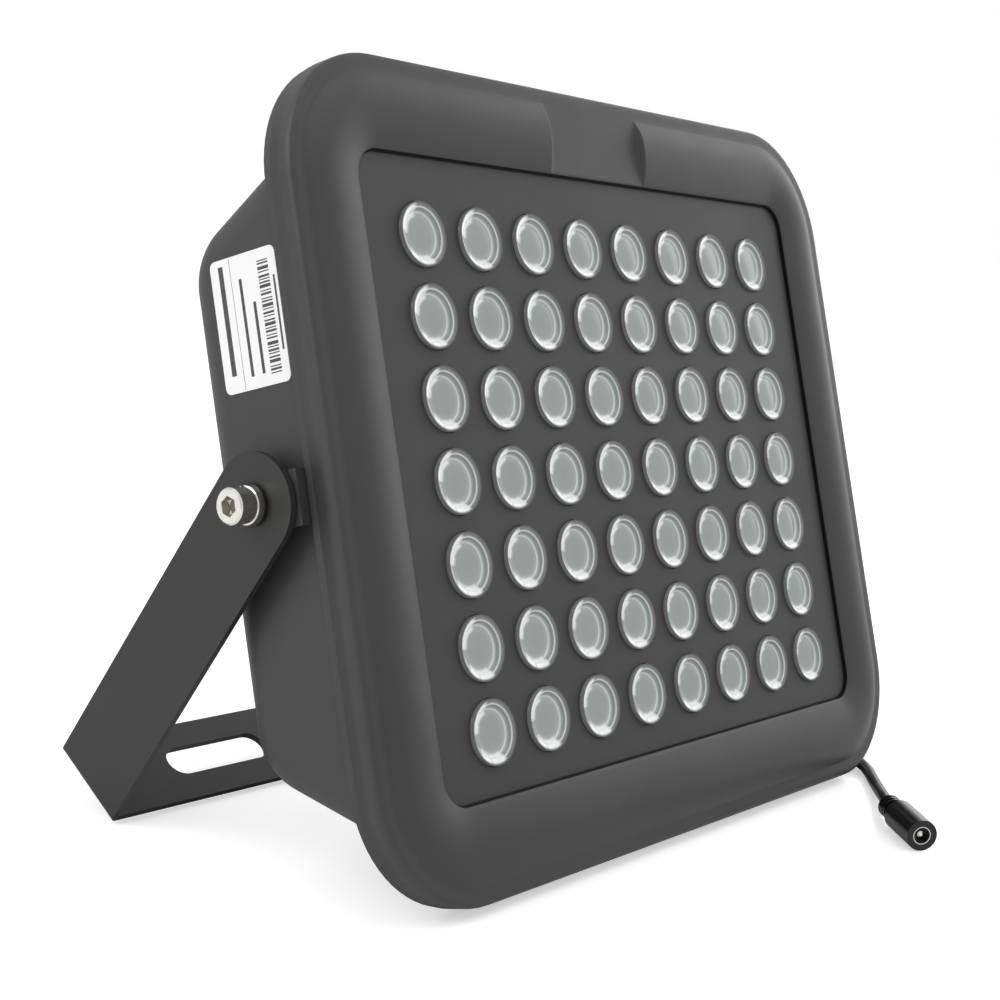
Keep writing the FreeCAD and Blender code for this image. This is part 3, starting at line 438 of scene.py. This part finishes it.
def make_frame():
    """Cast front frame with its crown, notch and side wall, and painted shade at the edge of its opening:
    its inner wall and a strip along the gap coloured near black.
    """
    section = [(FRAME_WALL, SEAT_DEPTH), (FRAME_WALL, FRAME_REAR), (0.0, FRAME_REAR)]
    section += list(EDGE_ROUND)
    section += [(3.2, LAND_DEPTH), (4.9, LAND_DEPTH)]
    section += [(inset, None) for inset in CROWN_INSETS]
    section += [(25.85, LAND_DEPTH + 0.05), (BAND_SIDE, WALL_TOP)]
    rings = []
    for inset, depth in section:
        ring = []
        for x, h, top in frame_ring(inset):
            place = depth
            if depth is None:
                share = notch_share(x) if top and abs(x) < NOTCH_REGION else 1.0
                place = LAND_DEPTH - crown_rise(inset) * share
            ring.append(head_point(x, place, h + FRAME_RISE))
        rings.append(ring)
    verts, faces = [], []
    joined_rings(verts, faces, rings)
    coat = nodes["front_bezel"].data.materials[0]
    mesh_piece("front_frame", verts, faces, coat, "head", ("front_bezel",))
    # Painted shade: the frame's inner wall down to the panel and its seat coloured near black, and a
    # near-black strip on the panel along the gap round the opening
    seat = ((BAND_SIDE, WALL_TOP), (BAND_SIDE, PANEL_DEPTH), (SEAT_INSET, PANEL_DEPTH),
            (SEAT_INSET, SEAT_DEPTH), (FRAME_WALL, SEAT_DEPTH))
    gap = ((BAND_SIDE + GAP_WIDTH, PANEL_DEPTH - GAP_LIFT), (BAND_SIDE + 0.02, PANEL_DEPTH - GAP_LIFT))
    verts, faces = [], []
    for part in (seat, gap):
        joined_rings(verts, faces, [[head_point(x, depth, h + FRAME_RISE) for x, h, _ in frame_ring(inset)]
                                    for inset, depth in part])
    dark = moulded("frame_gap_shade", shade(0.001), shade(0.002), 0.8)
    mesh_piece("frame_edge_shade", verts, faces, dark, "head")


# Hexagon sockets of the pivot screws, with a disc of painted shade on each socket's floor
HEX_DEPTH = 3.0
HEX_ROUND = 2.48
HEX_LIFT = 0.06
HEX_SIDES = 24


def make_socket_shade():
    """Painted shade: a dim, dark brownish disc on the floor of the sockets in the two pivot screws."""
    corners = [nodes["pivot_screws"].matrix_world @ v.co for v in nodes["pivot_screws"].data.vertices]
    reach = max(corner.x for corner in corners) / MM - HEX_DEPTH + HEX_LIFT
    verts, faces = [], []
    for x in (-reach, reach):
        start = len(verts)
        for index in range(HEX_SIDES):
            angle = 2 * math.pi * index / HEX_SIDES
            depth = PIVOT_DEPTH + HEX_ROUND * math.cos(angle)
            verts.append(head_point(x, depth, HEX_ROUND * math.sin(angle)))
        faces.append(tuple(range(start, start + HEX_SIDES)))
    # Painted shade in the recess of each socket
    dull = moulded("socket_painted_shade", (0.20, 0.19, 0.13), (0.32, 0.30, 0.22), 0.5, 900.0)
    mesh_piece("socket_shade_discs", verts, faces, dull, "head", smooth=False)


# Label: the source's place for it, then the print, measured from its front edge and its lower edge
HOUSING_SIDE = -138.75
LABEL_THICKNESS = 0.25
LABEL_X = HOUSING_SIDE - LABEL_THICKNESS
LABEL_FRONT = 11.5
LABEL_BOTTOM = 31.0
PRINT_LIFT = 0.02
# Divider as (front, rear, low end, high end), and bars as (middle, low end, high end, thickness)
LABEL_DIVIDER = (17.35, 17.5, 0.2, 36.4)
LABEL_BARS = ((21.0, 4.7, 34.7, 1.8), (14.0, 3.4, 30.0, 1.1), (9.7, 3.5, 23.0, 1.1), (1.3, 8.5, 28.6, 0.7))
STRIPE_BAND = (2.9, 7.0)
STRIPE_START = 2.9
STRIPE_END = 33.5
STRIPE_WIDTHS = (0.32, 0.62, 0.32, 0.9, 0.45)
STRIPE_SPACES = (0.45, 0.35, 0.75, 0.4, 0.6, 0.35)


def label_quad(verts, faces, d0, d1, h0, h1):
    """One printed bar on the label, a hair proud of it."""
    start = len(verts)
    x = LABEL_X - PRINT_LIFT
    for d, h in ((d0, h0), (d0, h1), (d1, h1), (d1, h0)):
        verts.append(head_point(x, LABEL_FRONT + d, LABEL_BOTTOM + h))
    faces.append((start, start + 1, start + 2, start + 3))


def make_label_print():
    """Generic print: a thin divider, plain bars where lines of text would be, and a row of stripes."""
    ink = Shader("label_ink", Roughness=0.6)
    ink.link(ink.ramp(ink.noise(900.0, 2.0), [(0.3, shade(0.05)), (0.7, shade(0.09))]), "Base Color")
    verts, faces = [], []
    label_quad(verts, faces, *LABEL_DIVIDER)
    for d, low, high, thick in LABEL_BARS:
        label_quad(verts, faces, d - thick / 2, d + thick / 2, low, high)
    place, step = STRIPE_START, 0
    while place < STRIPE_END:
        width = STRIPE_WIDTHS[step % len(STRIPE_WIDTHS)]
        label_quad(verts, faces, *STRIPE_BAND, place, place + width)
        place += width + STRIPE_SPACES[step % len(STRIPE_SPACES)]
        step += 1
    mesh_piece("label_print", verts, faces, ink.material, "head", smooth=False)


# Route of the lead: the source's points, drawn in a little where it rounds the lamp's corner
CORD_POINTS = [
    (-40.0, -38.554, 16.025), (-40.0, -40.799, 9.924), (-37.3, -43.6, 5.0), (-31.5, -45.2, 2.12),
    (-12.0, -46.4, 2.12), (50.0, -45.8, 2.12), (100.0, -46.6, 2.12), (119.0, -45.2, 2.12),
    (126.0, -48.5, 2.12), (128.0, -54.5, 2.12), (125.0, -60.8, 2.12), (118.5, -67.2, 2.12),
    (109.5, -73.6, 2.3), (101.0, -79.8, 2.8), (92.0, -85.5, 4.2), (86.2, -89.2, 5.2), (80.8, -93.1, 5.2),
]
CORD_DIAMETER = 4.2


def make_cord():
    """The lead as a round curve, with the socket's pieces on its far end."""
    curve = bpy.data.curves.new("lead", "CURVE")
    curve.dimensions = "3D"
    curve.bevel_depth = CORD_DIAMETER / 2 * MM
    curve.bevel_resolution = 6
    curve.resolution_u = 10
    curve.use_fill_caps = True
    spline = curve.splines.new("NURBS")
    spline.points.add(len(CORD_POINTS) - 1)
    for point, place in zip(spline.points, CORD_POINTS):
        point.co = (place[0] * MM, place[1] * MM, place[2] * MM, 1.0)
    spline.order_u = 3
    spline.use_endpoint_u = True
    cord = bpy.data.objects.new("lead", curve)
    bpy.context.scene.collection.objects.link(cord)
    jacket = Shader("lead_jacket", Roughness=0.3, Specular_IOR_Level=0.3)
    jacket.link(jacket.ramp(jacket.noise(90.0), [(0.3, shade(0.004)), (0.7, shade(0.008))]), "Base Color")
    jacket.bump(jacket.noise(700.0, 2.0), 0.1, 0.00003)
    curve.materials.append(jacket.material)
    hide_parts("power_cord")
    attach(cord, "head")


def dress_nodes():
    """Materials of the source's nodes, in view and inside."""
    body = powder_coat("body_coat", 0.038, 0.050, 0.46, 1500.0, 0.30, (0.96, 1.0, 0.97))
    for name in ("front_bezel", "housing"):
        dress(name, body)
    panel = powder_coat("panel_coat", 0.041, 0.050, 0.55, 2200.0, 0.25, (1.0, 0.985, 0.965))
    dress("front_panel", panel)
    dress("bracket", powder_coat("bracket_coat", 0.020, 0.028, 0.45, 1800.0, 0.5))
    bright = plated("bright_plating", 0.94, 0.18, tint=(1.0, 0.98, 0.92))
    zinc = plated("zinc_plating", 0.60, 0.30)
    for name in ("pivot_screws", "lock_washers", "connector_sleeve", "connector_pin"):
        dress(name, bright)
    # Flat washers coloured near black
    dress("flat_washers", moulded("near_black_washer", shade(0.010), shade(0.016), 0.4))
    for name in ("bezel_screws", "board_screws", "plate_screws", "driver_screws"):
        dress(name, zinc)
    black = moulded("black_moulding", shade(0.004), shade(0.008), 0.26)
    for name in ("connector_boot", "connector_body", "gland_body", "gland_nut", "gland_locknut"):
        dress(name, black)
    rubber = moulded("black_rubber", shade(0.012), shade(0.02), 0.7)
    for name in ("bezel_gasket", "gland_seal", "supply_leads"):
        dress(name, rubber)
    dress("rating_label", moulded("label_film", shade(0.93), shade(0.96), 0.45, 200.0, 0.05))
    dress("led_emitters", moulded("emitter_package", (0.55, 0.50, 0.25), (0.65, 0.60, 0.35), 0.4))
    dress("led_board", moulded("board_mask", shade(0.65), shade(0.72), 0.5))
    dress("mounting_plate", plated("sheet_metal", 0.70, 0.40))
    dress("driver_board", moulded("driver_mask", (0.02, 0.12, 0.05), (0.03, 0.16, 0.07), 0.4))
    dress("driver_parts", moulded("driver_mouldings", shade(0.03), shade(0.05), 0.45))
    dress("led_leads", moulded("red_insulation", (0.35, 0.02, 0.015), (0.42, 0.03, 0.02), 0.4))


FLOOR_HALF = 12.0
FLOOR_LEVEL = -0.0003


def make_floor():
    """White floor that glows a little to the camera, so that it meets the background without an edge."""
    mesh = bpy.data.meshes.new("floor")
    corners = ((-1, -1), (1, -1), (1, 1), (-1, 1))
    verts = [(x * FLOOR_HALF, y * FLOOR_HALF, FLOOR_LEVEL) for x, y in corners]
    mesh.from_pydata(verts, [], [(0, 1, 2, 3)])
    floor = bpy.data.objects.new("floor", mesh)
    bpy.context.scene.collection.objects.link(floor)
    paint = Shader("floor_paint", Base_Color=(0.86, 0.86, 0.86), Roughness=0.22, Specular_IOR_Level=0.3)
    rays = paint.node("ShaderNodeLightPath")
    glow = paint.node("ShaderNodeMath", Value=rays.outputs["Is Camera Ray"])
    glow.operation = "MULTIPLY"
    glow.inputs[1].default_value = 0.50
    paint.link(glow.outputs[0], "Emission Strength")
    paint.base.inputs["Emission Color"].default_value = (1, 1, 1, 1)
    mesh.materials.append(paint.material)


def make_world():
    """Even white studio light, and a pure white background to the camera."""
    world = bpy.data.worlds.new("studio")
    bpy.context.scene.world = world
    world.use_nodes = True
    tree = world.node_tree
    background = tree.nodes["Background"]
    rays = tree.nodes.new("ShaderNodeLightPath")
    seen = tree.nodes.new("ShaderNodeMapRange")
    seen.inputs["To Min"].default_value = 0.66
    seen.inputs["To Max"].default_value = 1.0
    tree.links.new(rays.outputs["Is Camera Ray"], seen.inputs["Value"])
    tree.links.new(seen.outputs["Result"], background.inputs["Strength"])
    background.inputs["Color"].default_value = (1, 1, 1, 1)


def area_light(name, place, target, width, height, power):
    """A soft rectangular light turned to its target."""
    data = bpy.data.lights.new(name, "AREA")
    data.shape = "RECTANGLE"
    data.size = width
    data.size_y = height
    data.energy = power
    light = bpy.data.objects.new(name, data)
    light.location = place
    direction = Vector(target) - Vector(place)
    light.rotation_euler = direction.to_track_quat("-Z", "Y").to_euler()
    bpy.context.scene.collection.objects.link(light)


def make_lights():
    """Three soft lights round the lamp: right, left and above the front."""
    area_light("light_right", (1.5, 0.0, 0.7), (0, 0, 0.1), 1.4, 1.2, 7.5)
    area_light("light_left", (-1.1, 0.5, 0.8), (0, 0, 0.1), 1.0, 1.0, 7.0)
    area_light("light_top", (0.1, -0.5, 1.5), (0, 0, 0.1), 1.4, 1.2, 4.4)


make_camera()
make_cord()
dress_nodes()
make_frame()
make_socket_shade()
make_lenses()
make_label_print()
make_floor()
make_world()
make_lights()
bpy.context.scene.view_settings.view_transform = "Standard"
